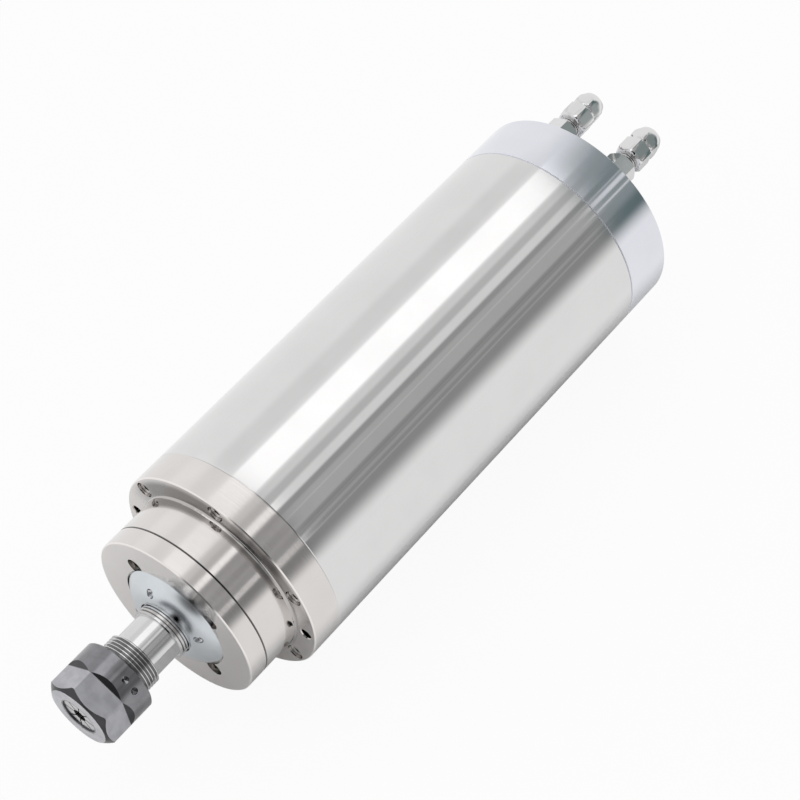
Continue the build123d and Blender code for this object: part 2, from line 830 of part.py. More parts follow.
def hose_nut(angle):
    """Compression nut of a water fitting: chamfered hexagon with a domed front and a hose mouth."""
    at = spot(fitting_circle, angle)
    start = hose_nut_seat + running_gap
    end = start + hose_nut_length
    corner = corner_radius(hose_nut_flats)
    low = (corner, start + hose_nut_round_length)
    high = (corner, end - hose_nut_dome)
    bulge = ((corner + hose_nut_face) / 2 + hose_nut_bulge, end - hose_nut_dome / 3)
    outline = make_face(Curve() + [
        Line((0, start), (corner - hose_nut_round, start)), Line((corner - hose_nut_round, start), low),
        Line(low, high), ThreePointArc(high, bulge, (hose_nut_face, end)),
        Line((hose_nut_face, end), (0, end)), Line((0, end), (0, start))])
    hexagon = prism(hose_nut_flats, start, end, at, angle + hose_nut_turn)
    body = Pos(at[0], 0, at[1]) * revolve(outline, Axis.Y) & hexagon
    body -= rod(fitting_neck_radius + running_gap, start - past, fitting_neck_end + ferrule_gap, at)
    body -= rod(ferrule_radius + ferrule_gap, fitting_neck_end - past, ferrule_end + ferrule_gap, at)
    return body - rod(hose_radius + hose_gap, start, end + past, at)


def hose_ferrule(angle):
    """Gripping ring that sits on the end of the neck, inside the nut."""
    return pipe(ferrule_radius, ferrule_bore, fitting_neck_end, ferrule_end, spot(fitting_circle, angle))


def shaft_outline():
    """Outline of the shaft from its front face to its rear end."""
    points = [(0, shaft_front)]
    root = thread_radius - thread_depth
    for turn in range(thread_turns):
        start = shaft_front + thread_pitch * turn
        points += [(root, start), (thread_radius, start + thread_pitch * thread_flank_share),
                   (thread_radius, start + thread_pitch * (1 - thread_flank_share))]
    points += [(root, thread_rear), (shaft_neck_radius, thread_rear),
               (shaft_neck_radius, shaft_neck_station)]
    crest = front_bearing_bore - ring_drop
    for turn in range(ring_groove_count):
        start = shaft_neck_station + ring_groove_pitch * turn
        middle = start + ring_groove_pitch - ring_groove_width / 2
        points += [(crest - ring_groove_depth, start), (crest, start + ring_groove_width / 2),
                   (crest, middle - ring_groove_width / 2), (crest - ring_groove_depth, middle)]
    ring_end = shaft_neck_station + ring_groove_pitch * ring_groove_count
    front_seat = front_bearing_bore - assembly_gap
    tail_seat = rear_bearing_bore - assembly_gap
    core_front = stack_front - end_ring_length
    core_rear = stack_rear + end_ring_length
    shaft_rear = rear_stack_end + lock_nut_length + shaft_tail_length
    points += [(front_seat, ring_end), (front_seat, front_stack_end),
               (shaft_shoulder_radius, front_stack_end), (shaft_shoulder_radius, core_front),
               (shaft_core_radius, core_front),
               (shaft_core_radius, core_rear), (shaft_tail_radius, core_rear),
               (shaft_tail_radius, rear_bearing_station), (tail_seat, rear_bearing_station),
               (tail_seat, shaft_rear), (0, shaft_rear)]
    return points


def taper_drop(length):
    """How much the collet taper narrows over a length."""
    return length * math.tan(math.radians(collet_half_angle))


def shaft():
    """Hollow nosed shaft with collet taper, thread, wrench flats and bearing seats."""
    body = turned(shaft_outline())
    mouth = collet_big_radius + running_gap - taper_drop(shaft_front - collet_land_end)
    taper_end = collet_front + collet_length + collet_tail_room
    bottom = mouth - taper_drop(taper_end - shaft_front)
    body -= cone(mouth + taper_drop(past), bottom, shaft_front - past, taper_end)
    body -= rod(shaft_relief_radius, taper_end - past, taper_end + shaft_relief_length)
    body -= neck_flat(1.0)
    body -= neck_flat(-1.0)
    return body


def neck_flat(side):
    """Block that cuts one wrench flat into the shaft's neck."""
    middle = (thread_rear + shaft_neck_station) / 2
    offset = (wrench_flats + shaft_neck_radius) / 2
    block = Box(shaft_neck_radius, shaft_neck_length, 2 * shaft_neck_radius)
    return Rot(0, -wrench_flat_angle, 0) * Pos(side * offset, middle, 0) * block


def collet():
    """Slotted spring collet with its front cone, groove and long taper."""
    groove_start = collet_front + collet_cone_length
    cone_radius = collet_front_radius + collet_cone_length * math.tan(math.radians(collet_cone_angle))
    tail = collet_front + collet_length
    grip_end = collet_front + collet_grip_length
    relief = collet_bore_radius + collet_relief
    body = turned([
        (collet_bore_radius, collet_front), (collet_front_radius, collet_front), (cone_radius, groove_start),
        (collet_groove_radius, groove_start), (collet_groove_radius, collet_shoulder),
        (collet_big_radius, collet_shoulder), (collet_big_radius, collet_land_end),
        (collet_big_radius - taper_drop(tail - collet_land_end), tail), (relief, tail),
        (relief, grip_end + collet_relief), (collet_bore_radius, grip_end)])
    step = 360.0 / collet_slot_count
    slot = Box(2 * (collet_big_radius - collet_web), collet_slot_length, collet_slot_width)
    for index in range(collet_slot_count):
        front_slot = Pos(collet_big_radius, collet_front + collet_slot_length / 2, 0) * slot
        rear_slot = Pos(collet_big_radius, tail - collet_slot_length / 2, 0) * slot
        body -= Rot(0, step * index, 0) * front_slot
        body -= Rot(0, step * (index + 0.5), 0) * rear_slot
    return body


def collet_nut():
    """Collet nut: round collar, six wrench flats, chamfered front and the cone that presses the collet."""
    shoulder = nut_rear - nut_collar_length
    chamfer_start = nut_front + nut_chamfer_length
    bar = turned([(0, nut_front), (nut_face_radius, nut_front), (nut_radius, chamfer_start),
                  (nut_radius, nut_rear - edge_chamfer), (nut_radius - edge_chamfer, nut_rear),
                  (0, nut_rear)])
    hexagon = prism(nut_flats, nut_front - past, shoulder, turn=nut_flat_angle)
    run_out = nut_radius - nut_flats / 2
    slopes = flared(nut_flats, shoulder, run_out, nut_flat_angle)
    body = bar & (hexagon + slopes + rod(nut_radius + past, shoulder + run_out, nut_rear + past))
    slope = math.radians(collet_cone_angle)
    cone_front = collet_front_radius + running_gap / math.cos(slope)
    throat = collet_big_radius + collet_land_gap
    cone_end = collet_front + (throat - cone_front) / math.tan(slope)
    thread_end = nut_rear - nut_thread_length
    thread_bore = thread_radius + 2 * running_gap
    body -= turned([
        (0, nut_front - past), (nut_face_bore, nut_front - past), (nut_face_bore, nut_front + nut_face_land),
        (cone_front, collet_front), (throat, cone_end), (throat, thread_end), (thread_bore, thread_end),
        (thread_bore, nut_rear + past), (0, nut_rear + past)])
    for angle in balance_hole_angles:
        body -= Rot(0, -angle, 0) * Pos(nut_radius, nut_rear - balance_hole_offset, 0) * balance_drill()
    return body


def balance_drill():
    """Shape of a balancing hole along X, whose mouth is at the origin."""
    floor = -balance_hole_depth
    outline = Polyline((past, 0), (past, balance_hole_radius), (floor, balance_hole_radius),
                       (floor - balance_point_depth, 0), close=True)
    return revolve(make_face(outline), Axis.X)


def lock_nut(bore, wall, start):
    """Slotted round nut that clamps the inner races."""
    outer = bore + wall
    body = pipe(outer, bore + assembly_gap, start, start + lock_nut_length)
    slot = Box(2 * lock_nut_slot_depth, lock_nut_length + past, lock_nut_slot_width)
    for index in range(lock_nut_slots):
        turn = Rot(0, 360.0 / lock_nut_slots * index, 0)
        body -= turn * Pos(outer, start + lock_nut_length / 2, 0) * slot
    return body


def rotor_bar_spots():
    """Places of the bars of the rotor's cage, in the middle of the end rings' wall."""
    return ring_spots(rotor_radius - end_ring_drop - end_ring_wall / 2, rotor_bar_count, 0.0)


def rotor_core():
    """Laminated rotor core pressed on the shaft, with a closed slot for every bar of the cage."""
    body = pipe(rotor_radius, shaft_core_radius + assembly_gap, stack_front, stack_rear)
    for at in rotor_bar_spots():
        body -= rod(rotor_bar_radius + assembly_gap, stack_front - past, stack_rear + past, at)
    return body


def rotor_cage():
    """Aluminium cage of the rotor: bars through the core and a ring at both ends."""
    outer = rotor_radius - end_ring_drop
    rings = [pipe(outer, outer - end_ring_wall, start, start + end_ring_length)
             for start in (stack_front - end_ring_length, stack_rear)]
    bars = [rod(rotor_bar_radius, stack_front - end_turn_lap, stack_rear + end_turn_lap, at)
            for at in rotor_bar_spots()]
    return joined(rings + bars)


def spacer(front, outer):
    """Ring between the outer or the inner races of a bearing pair."""
    bore, radius, width, ball = bearing_sizes(front)
    inner_land, outer_land = race_lands(front)
    start, end = bearing_stations(front)
    if outer:
        return pipe(radius, outer_land, start + width, end)
    return pipe(inner_land, bore, start + width, end)


def m4_screws(circle, count, angle, length, seat, faces_rear=False):
    """Ring of M4 socket head screws."""
    return group([m4_screw(length, seat, at, faces_rear) for at in ring_spots(circle, count, angle)])


def dust_cover_screws():
    """The small screws of the dust cover."""
    spots = ring_spots(cover_screw_circle, cover_screw_count, cover_screw_angle)
    return group([cover_screw(at) for at in spots])


def connector_screws():
    """The four screws of the connector plate."""
    seat = body_length + connector_plate_thickness
    screws = []
    for at in connector_screw_spots():
        screws.append(cap_screw(connector_screw_head_radius, connector_screw_head_length,
                                connector_screw_radius, connector_screw_length, connector_screw_flats,
                                connector_screw_socket, seat, at, True))
    return group(screws)


def casing_nodes():
    """Tube, covers, cooling jacket and the screws that hold them."""
    return {
        "body_tube": body_tube(),
        "front_housing": front_housing(),
        "front_cap": front_cap(),
        "dust_cover": dust_cover(),
        "rear_cap": rear_cap(),
        "rear_bearing_housing": rear_bearing_housing(),
        "cooling_jacket": cooling_jacket(),
        "jacket_seals": jacket_seals(),
        "flange_screws": m4_screws(flange_screw_circle, flange_screw_count, flange_screw_angle,
                                   flange_screw_length, flange_seat()),
        "front_cap_screws": m4_screws(cap_screw_circle, cap_screw_count, cap_screw_angle,
                                      cap_screw_length, cap_seat()),
        "rear_cap_screws": m4_screws(rear_screw_circle, rear_screw_count, rear_screw_angle,
                                     rear_screw_length, rear_seat(), True),
        "dust_cover_screws": dust_cover_screws(),
    }


def motor_nodes():
    """Stator, rotor, leads and power connector."""
    return {
        "stator_core": stator_core(),
        "stator_windings": stator_windings(),
        "motor_leads": motor_leads(),
        "connector_shell": connector_shell(),
        "connector_insert": connector_insert(),
        "connector_pins": connector_pins(),
        "connector_screws": connector_screws(),
        "shaft": shaft(),
        "rotor_core": rotor_core(),
        "rotor_cage": rotor_cage(),
    }


def bearing_nodes():
    """Both bearing pairs with their spacers, lock nuts and preload spring."""
    nodes = {
        "preload_spring": preload_spring(),
        "front_lock_nut": lock_nut(front_bearing_bore, front_lock_nut_wall, lock_nut_station),
        "rear_lock_nut": lock_nut(rear_bearing_bore, rear_lock_nut_wall, rear_stack_end),
    }
    for side, front in (("front", True), ("rear", False)):
        nodes[side + "_outer_races"] = bearing_race(front, True)
        nodes[side + "_inner_races"] = bearing_race(front, False)
        nodes[side + "_outer_spacer"] = spacer(front, True)
        nodes[side + "_inner_spacer"] = spacer(front, False)
        nodes[side + "_balls"] = bearing_balls(front)
        nodes[side + "_cages"] = bearing_cages(front)
    return nodes


def chuck_nodes():
    """Collet and its nut."""
    return {"collet": collet(), "collet_nut": collet_nut()}


def fitting_nodes():
    """The two water fittings, each a body, a sealing washer, a ferrule and a compression nut."""
    nodes = {}
    for name, angle in zip(("outlet", "inlet"), fitting_angles):
        nodes[name + "_fitting"] = fitting_body(angle)
        nodes[name + "_washer"] = fitting_washer(angle)
        nodes[name + "_ferrule"] = hose_ferrule(angle)
        nodes[name + "_hose_nut"] = hose_nut(angle)
    return nodes


def main():
    """Builds every piece and writes each one to a file of its own."""
    nodes = casing_nodes() | motor_nodes() | bearing_nodes() | chuck_nodes() | fitting_nodes()
    os.makedirs("parts", exist_ok=True)
    for name, shape in nodes.items():
        export_step(shape, "parts/" + name + ".step")


main()
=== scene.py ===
"""Looks of the motor spindle: finishes, detailed screws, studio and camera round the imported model."""

import logging
import math
from dataclasses import dataclass, field, replace
from enum import Enum
from typing import Any, Callable, Sequence

import bmesh
import bpy
from mathutils import Matrix, Vector


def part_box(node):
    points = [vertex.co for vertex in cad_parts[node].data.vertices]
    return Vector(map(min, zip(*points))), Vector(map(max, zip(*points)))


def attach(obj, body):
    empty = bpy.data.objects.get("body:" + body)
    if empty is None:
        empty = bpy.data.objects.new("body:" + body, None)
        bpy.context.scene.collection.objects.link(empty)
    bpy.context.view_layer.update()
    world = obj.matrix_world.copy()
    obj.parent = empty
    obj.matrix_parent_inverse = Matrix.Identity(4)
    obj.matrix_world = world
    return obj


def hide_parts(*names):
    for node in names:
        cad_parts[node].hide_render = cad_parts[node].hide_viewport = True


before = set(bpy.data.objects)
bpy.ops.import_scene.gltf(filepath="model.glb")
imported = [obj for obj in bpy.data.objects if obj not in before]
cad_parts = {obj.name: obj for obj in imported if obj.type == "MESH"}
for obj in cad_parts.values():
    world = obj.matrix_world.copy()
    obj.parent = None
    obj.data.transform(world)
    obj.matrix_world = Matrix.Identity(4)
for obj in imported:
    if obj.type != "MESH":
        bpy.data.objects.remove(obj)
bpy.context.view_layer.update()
log = logging.getLogger("spindle")

MM = 0.001
TURN = 2 * math.pi
FAR = 1.0  # metres, beyond every piece
STEEP = 1.5  # beyond every tilt and sine

Colour = tuple[float, float, float]
Place = tuple[float, float]
Span = tuple[float, float]


class Wire:
    """One output socket of a node tree, on which arithmetic adds Math nodes."""

    def __init__(self, bench: "Bench", socket: bpy.types.NodeSocket) -> None:
        """Keeps the bench that made the socket."""
        self.bench = bench
        self.socket = socket

    def other(self, name: str | int) -> "Wire":
        """Another output of the same node."""
        return Wire(self.bench, self.socket.node.outputs[name])

    def __add__(self, value: "Wire | float") -> "Wire":
        """Sum."""
        return self.bench.maths("ADD", self, value)

    def __radd__(self, value: float) -> "Wire":
        """Sum with a number on the left."""
        return self.bench.maths("ADD", value, self)

    def __sub__(self, value: "Wire | float") -> "Wire":
        """Difference."""
        return self.bench.maths("SUBTRACT", self, value)

    def __rsub__(self, value: float) -> "Wire":
        """Difference from a number."""
        return self.bench.maths("SUBTRACT", value, self)

    def __mul__(self, value: "Wire | float") -> "Wire":
        """Product."""
        return self.bench.maths("MULTIPLY", self, value)

    def __rmul__(self, value: float) -> "Wire":
        """Product with a number on the left."""
        return self.bench.maths("MULTIPLY", value, self)

    def __truediv__(self, value: "Wire | float") -> "Wire":
        """Quotient."""
        return self.bench.maths("DIVIDE", self, value)

    def __rtruediv__(self, value: float) -> "Wire":
        """Quotient of a number."""
        return self.bench.maths("DIVIDE", value, self)

    def __pow__(self, value: "Wire | float") -> "Wire":
        """Power."""
        return self.bench.maths("POWER", self, value)


class Bench:
    """Adds nodes to one tree, of a material, the world or a geometry."""

    def __init__(self, tree: bpy.types.NodeTree) -> None:
        """Keeps the tree."""
        self.tree = tree

    def node(self, kind: str, settings: dict[str, Any] | None = None,
             inputs: dict[str | int, Any] | None = None, out: str | int = 0) -> Wire:
        """Adds one node.

        Args:
            kind: The node's type.
            settings: Its properties, set before its sockets.
            inputs: A value or a wire for each socket.
            out: The output to return.

        Returns:
            The chosen output.
        """
        made = self.tree.nodes.new(kind)
        for name, value in (settings or {}).items():
            setattr(made, name, value)
        for key, value in (inputs or {}).items():
            if isinstance(value, Wire):
                self.tree.links.new(value.socket, made.inputs[key])
            else:
                made.inputs[key].default_value = value
        return Wire(self, made.outputs[out]) if len(made.outputs) else Wire(self, made.inputs[0])

    def maths(self, operation: str, *values: "Wire | float") -> Wire:
        """A Math node on one to three values."""
        return self.node("ShaderNodeMath", {"operation": operation}, dict(enumerate(values)))

    def vector(self, x: Any, y: Any, z: Any) -> Wire:
        """Three values joined to a vector."""
        return self.node("ShaderNodeCombineXYZ", inputs={0: x, 1: y, 2: z})

    def mix(self, share: Any, first: Any, second: Any) -> Wire:
        """A colour between two colours."""
        return self.node("ShaderNodeMix", {"data_type": "RGBA"}, {0: share, 6: first, 7: second}, out=2)

    def ease(self, value: Wire, low: float, high: float, start: float = 0.0, end: float = 1.0) -> Wire:
        """A smooth step from start, at low, to end, at high."""
        names = {"Value": value, "From Min": low, "From Max": high, "To Min": start, "To Max": end}
        return self.node("ShaderNodeMapRange", {"interpolation_type": "SMOOTHSTEP"}, names)


class Grain(Enum):
    """How a surface was worked, which sets the way its fine lines run."""

    TURNED = "turned"
    EVEN = "even"


class Surface:
    """Coordinates on a round piece whose axis runs along Y."""

    AROUND = 1.6  # radius of the noise's circle, so small that the marks run round the piece

    def __init__(self, bench: Bench, centre: Place) -> None:
        """Works out radius, place along the axis, direction round it and tilt.

        Args:
            bench: The material's bench.
            centre: X and Z of the piece's own axis.
        """
        self.bench = bench
        seen = bench.node("ShaderNodeTexCoord", out="Object")
        self.place = bench.node("ShaderNodeMapping", inputs={
            "Vector": seen, "Location": (-centre[0], 0.0, -centre[1])})
        x = bench.node("ShaderNodeSeparateXYZ", inputs={0: self.place})
        self.along = x.other("Y")
        z = x.other("Z")
        self.radius = bench.maths("MAXIMUM", (x * x + z * z) ** 0.5, 1e-6)
        self.cosine = x / self.radius
        self.sine = z / self.radius
        facing = bench.node("ShaderNodeTexCoord", out="Normal")
        self.tilt = bench.node("ShaderNodeSeparateXYZ", inputs={0: facing}, out="Y")

    def lines(self, grain: Grain, scale: float, detail: float) -> Wire:
        """Fine working marks, from 0 to 1.

        Args:
            grain: The way the marks run.
            scale: Marks in a metre.
            detail: Layers of finer marks.

        Returns:
            The marks' height.
        """
        bench = self.bench
        if grain is Grain.EVEN:
            return bench.node("ShaderNodeTexNoise", inputs={
                "Vector": self.place, "Scale": scale, "Detail": detail, "Roughness": 0.6})
        vector = bench.vector(self.radius * scale, self.along * scale, self.cosine * self.AROUND)
        return bench.node("ShaderNodeTexNoise", {"noise_dimensions": "4D"}, {
            "Vector": vector, "W": self.sine * self.AROUND, "Scale": 1.0, "Detail": detail,
            "Roughness": 0.62})

    def patches(self, scale: float, detail: float) -> Wire:
        """Soft patches, from 0 to 1."""
        return self.bench.node("ShaderNodeTexNoise", inputs={
            "Vector": self.place, "Scale": scale, "Detail": detail, "Roughness": 0.55})


@dataclass(frozen=True)
class Zone:
    """Part of a round piece, bounded by tilt, place, radius and side, whose tone paints light and shade on
    it; a zone can also just mark where a thread runs.

    The tilt is the normal's part along Y, so -1 faces the front and 1 the rear, and the sine
    tells the top of the piece from its underside.
    """

    tone: float = 1.0
    sheen: float = 0.0
    tilt: Span = (-STEEP, STEEP)
    along: Span = (-FAR, FAR)
    radius: Span = (-FAR, FAR)
    sine: Span = (-STEEP, STEEP)
    blur: float = 0.1 * MM
    tilt_blur: float = 0.03
    sine_blur: float = 0.25

    def mask(self, bench: Bench, surface: Surface) -> Wire:
        """Marks the zone on a piece.

        Args:
            bench: The material's bench.
            surface: Coordinates on the piece.

        Returns:
            1 in the zone and 0 outside it.
        """
        share = None
        for value, (low, high), blur, widest in (
                (surface.tilt, self.tilt, self.tilt_blur, STEEP),
                (surface.along, self.along, self.blur, FAR),
                (surface.radius, self.radius, self.blur, FAR),
                (surface.sine, self.sine, self.sine_blur, STEEP)):
            if low > -widest:
                step = bench.ease(value, low - blur, low + blur)
                share = step if share is None else share * step
            if high < widest:
                step = bench.ease(value, high - blur, high + blur, 1.0, 0.0)
                share = step if share is None else share * step
        return share


@dataclass(frozen=True)
class Finish:
    """One worked surface: its colour, its gloss, its marks, its painted edge highlights and its painted
    light and shade.

    Scales are counts in a metre, and heights and widths are metres.
    """

    name: str
    colour: Colour
    roughness: float
    metallic: float = 1.0
    grain: Grain = Grain.TURNED
    line_scale: float = 1400.0
    line_height: float = 0.000002
    line_sheen: float = 0.05
    patch_scale: float = 45.0
    patch_shade: float = 0.05
    patch_sheen: float = 0.04
    patch_span: Span = (0.35, 0.7)
    edge_width: float = 0.0003
    # painted highlight along corners: how much lighter they are painted
    painted_edge_highlight: float = 0.12
    edge_match: Span = (0.8, 0.985)
    least_roughness: float = 0.02
    centre: Place = (0.0, 0.0)
    # painted light and shade: parts made lighter or darker by facing, place and side
    painted_light_zones: tuple[Zone, ...] = ()
    thread: Zone | None = None
    thread_pitch: float = 1.0 * MM
    thread_depth: float = 0.35 * MM

    def tone(self, share: float) -> tuple[float, float, float, float]:
        """The colour made lighter or darker by a share."""
        return tuple(min(1.0, part * share) for part in self.colour) + (1.0,)

    def edges(self, bench: Bench) -> Wire:
        """Finds the outer and inner corners.

        Args:
            bench: The material's bench.

        Returns:
            1 at a corner and 0 away from it.
        """
        flat = bench.node("ShaderNodeNewGeometry", out="Normal")
        rounded = bench.node("ShaderNodeBevel", {"samples": 4}, {"Radius": self.edge_width})
        match = bench.node("ShaderNodeVectorMath", {"operation": "DOT_PRODUCT"},
                           {0: flat, 1: rounded}, out="Value")
        return bench.ease(match, *self.edge_match, 1.0, 0.0)

    def build(self) -> bpy.types.Material:
        """Makes the material.

        Returns:
            The finished material.
        """
        material = bpy.data.materials.new(self.name)
        material.use_nodes = True
        material.node_tree.nodes.clear()
        bench = Bench(material.node_tree)
        surface = Surface(bench, self.centre)
        lines = surface.lines(self.grain, self.line_scale, 5.0)
        patches = surface.patches(self.patch_scale, 3.0)
        spread = bench.ease(patches, *self.patch_span)
        shaded = bench.mix(spread, self.tone(1.0), self.tone(1.0 - self.patch_shade))
        # painted highlight along outer and inner corners
        colour = bench.mix(self.edges(bench), shaded, self.tone(1.0 + self.painted_edge_highlight))
        rough = self.roughness + (lines - 0.5) * self.line_sheen + (patches - 0.5) * self.patch_sheen
        # each zone paints its light or shade into the colour
        for zone in self.painted_light_zones:
            share = zone.mask(bench, surface)
            toned = bench.node("ShaderNodeVectorMath", {"operation": "SCALE"},
                               {0: colour, "Scale": zone.tone})
            colour = bench.mix(share, colour, toned)
            rough = rough + share * zone.sheen
        height = lines
        if self.thread is not None:
            turn = bench.maths("ARCTAN2", surface.sine, surface.cosine)
            wave = bench.maths("SINE", surface.along * (TURN / self.thread_pitch) + turn)
            height = lines + wave * self.thread.mask(bench, surface) * (self.thread_depth / self.line_height)
        bump = bench.node("ShaderNodeBump", inputs={
            "Height": height, "Distance": self.line_height, "Strength": 1.0})
        shader = bench.node("ShaderNodeBsdfPrincipled", inputs={
            "Base Color": colour, "Metallic": self.metallic,
            "Roughness": bench.maths("MAXIMUM", rough, self.least_roughness), "Normal": bump})
        bench.node("ShaderNodeOutputMaterial", inputs={"Surface": shader})
        return material


class Paintshop:
    """Builds each finish once."""

    def __init__(self) -> None:
        """Starts with no material."""
        self.made: dict[str, bpy.types.Material] = {}

    def material(self, finish: Finish) -> bpy.types.Material:
        """Finds a finish's material, and builds it the first time.

        Args:
            finish: The finish.

        Returns:
            Its material.
        """
        if finish.name not in self.made:
            self.made[finish.name] = finish.build()
        return self.made[finish.name]

    def dress(self, finish: Finish, *nodes: str) -> None:
        """Gives model nodes a finish.

        Args:
            finish: What they are finished with.
            nodes: Their names.
        """
        for name in nodes:
            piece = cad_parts[name]
            if not piece.material_slots:
                piece.data.materials.append(None)
            for slot in piece.material_slots:
                slot.material = self.material(finish)
            log.info("dressed %s in %s", name, finish.name)


paintshop = Paintshop()

FRONT_CHAMFER: Span = (-0.93, -0.3)
REAR_CHAMFER: Span = (0.3, 0.93)

# its rear-facing chamfer is painted darker, as painted shade
GROUND_STEEL = Finish(
    "ground_steel", (0.737, 0.73, 0.728), 0.06, line_scale=900.0, line_height=0.0000006,
    line_sheen=0.02, patch_sheen=0.02, patch_shade=0.025, painted_light_zones=(Zone(0.9, 0.45, tilt=REAR_CHAMFER),))
TURNED_STEEL = Finish(
    "turned_steel", (0.727, 0.70, 0.684), 0.12, line_height=0.000012, patch_shade=0.03, painted_light_zones=(
        # painted shade of the nose on the upper part of the flange's face
        Zone(0.36, 0.1, tilt=(-STEEP, -0.9), along=(-3 * MM, 3 * MM), radius=(39.7 * MM, 48 * MM),
             sine=(0.42, STEEP), blur=2.2 * MM),
        # painted shade on slopes that face the rear, up to the flange
        Zone(0.3, tilt=REAR_CHAMFER, along=(-FAR, 10 * MM)),
        # painted shade in the joint of nose and cap
        Zone(0.25, tilt=FRONT_CHAMFER, along=(-18.3 * MM, -17.4 * MM)),
        # painted light on the cap's front-facing face, then a painted highlight on its edge
        Zone(1.07, tilt=(-STEEP, -0.96), along=(-FAR, -20 * MM)),
        Zone(1.2, tilt=FRONT_CHAMFER, along=(-27.6 * MM, -26.7 * MM)),
        # painted highlight on the flange's front edge
        Zone(1.2, tilt=FRONT_CHAMFER, radius=(49 * MM, FAR)),
        # painted shade in the corner at the root of the nose
        Zone(0.7, tilt=(-0.97, -0.2), along=(-1.4 * MM, 0.4 * MM), radius=(-FAR, 42 * MM))))
COVER_ALUMINIUM = Finish("cover_aluminium", (0.70, 0.735, 0.765), 0.25, line_height=0.00001,
                         patch_shade=0.1)
# its front-facing chamfers are painted a little darker, as painted shade
CAP_ALUMINIUM = Finish(
    "cap_aluminium", (0.77, 0.782, 0.835), 0.07, line_height=0.0000006, line_sheen=0.02,
    patch_sheen=0.02, patch_shade=0.03, painted_light_zones=(Zone(0.95, 0.5, tilt=FRONT_CHAMFER),))
CAST_ALUMINIUM = Finish("cast_aluminium", (0.74, 0.75, 0.76), 0.35, grain=Grain.EVEN, line_scale=900.0)
DARK_STEEL = Finish("screw_steel", (0.52, 0.51, 0.50), 0.3)
BRIGHT_STEEL = Finish("bright_screws", (0.66, 0.66, 0.67), 0.2)
BEARING_STEEL = Finish("bearing_steel", (0.68, 0.69, 0.70), 0.09)
INNER_STEEL = Finish("inner_steel", (0.50, 0.50, 0.51), 0.28)
SPRING_STEEL = Finish("spring_steel", (0.33, 0.34, 0.37), 0.25)
# slopes that face the rear and the front are painted darker, as painted shade
SHAFT_STEEL = Finish("shaft_steel", (0.70, 0.70, 0.705), 0.11, painted_light_zones=(
    Zone(0.42, tilt=(0.25, 0.95)), Zone(0.75, tilt=(-0.95, -0.25))))
NUT_STEEL = Finish(
    "nut_steel", (0.255, 0.255, 0.27), 0.15, patch_scale=150.0, patch_shade=0.2, painted_edge_highlight=0.5, painted_light_zones=(
        # painted light by facing: flats lighter as painted reflection, chamfer darker as painted shade,
        # front face lighter as painted highlight
        Zone(2.0, 0.22, tilt=(-0.15, 0.15), along=(-FAR, -71.3 * MM)),
        Zone(0.28, 0.1, tilt=(-0.93, -0.25)),
        Zone(2.7, 0.05, tilt=(-STEEP, -0.95), radius=(9 * MM, FAR))))
COLLET_STEEL = Finish("collet_steel", (0.72, 0.72, 0.73), 0.2)
NICKEL = Finish(
    "nickel", (0.77, 0.765, 0.765), 0.07, grain=Grain.EVEN, line_scale=700.0,
    thread=Zone(radius=(-FAR, 4.7 * MM), along=(251.6 * MM, 254.8 * MM)), thread_pitch=1.0 * MM)
BRASS = Finish("pin_brass", (0.80, 0.62, 0.28), 0.22)
COPPER = Finish("copper", (0.62, 0.28, 0.12), 0.38, grain=Grain.EVEN)
WASHER_COPPER = Finish("washer_copper", (0.72, 0.40, 0.25), 0.3)
LAMINATIONS = Finish("laminations", (0.30, 0.31, 0.33), 0.42, line_scale=2000.0, line_height=0.00006)
RUBBER = Finish("seal_rubber", (0.02, 0.02, 0.02), 0.55, metallic=0.0, grain=Grain.EVEN)
PHENOLIC = Finish("cage_phenolic", (0.42, 0.24, 0.10), 0.5, metallic=0.0, grain=Grain.EVEN)
PLASTIC = Finish("connector_plastic", (0.03, 0.03, 0.032), 0.42, metallic=0.0, grain=Grain.EVEN)
INSULATION = Finish("lead_insulation", (0.55, 0.06, 0.04), 0.45, metallic=0.0, grain=Grain.EVEN)


Profile = Callable[[float], float]


def round_at(radius: float) -> Profile:
    """A circle's radius at any angle."""
    return lambda angle: radius


def hexagon_at(flats: float) -> Profile:
    """A hexagon's radius at each angle, with a corner at angle 0."""
    sixth = TURN / 6
    return lambda angle: flats / 2 / math.cos(angle % sixth - sixth / 2)


def turned_hexagon_at(flats: float, radius: float) -> Profile:
    """A hexagon whose corners are turned down to a radius."""
    full = hexagon_at(flats)
    return lambda angle: min(full(angle), radius)


def ribbed_at(radius: float, depth: float, ribs: int) -> Profile:
    """A serrated rim's radius at each angle."""
    return lambda angle: radius - depth * (0.5 - 0.5 * math.cos(ribs * angle))


def loft(name: str, rings: Sequence[tuple[float, Profile]], segments: int) -> bpy.types.Mesh:
    """Skins a closed shape over rings of points round the Y axis.

    Args:
        name: The mesh's name.
        rings: Place along Y and profile of each ring, and a radius of 0 closes an end.
        segments: Points round each ring.

    Returns:
        The mesh, with faces that point outwards.
    """
    shape = bmesh.new()
    loops = []
    for place, profile in rings:
        points = []
        for step in range(segments):
            angle = TURN * step / segments
            radius = profile(angle)
            points.append(shape.verts.new((radius * math.cos(angle), place, radius * math.sin(angle))))
        loops.append(points)
    for near, far in zip(loops, loops[1:]):
        for step in range(segments):
            after = (step + 1) % segments
            shape.faces.new((near[step], near[after], far[after], far[step]))
    bmesh.ops.remove_doubles(shape, verts=shape.verts, dist=1e-7)
    bmesh.ops.dissolve_degenerate(shape, edges=shape.edges, dist=1e-8)
    bmesh.ops.recalc_face_normals(shape, faces=shape.faces)
    mesh = bpy.data.meshes.new(name)
    shape.to_mesh(mesh)
    shape.free()
    mesh.shade_smooth()
    mesh.set_sharp_from_angle(angle=math.radians(28))
    return mesh


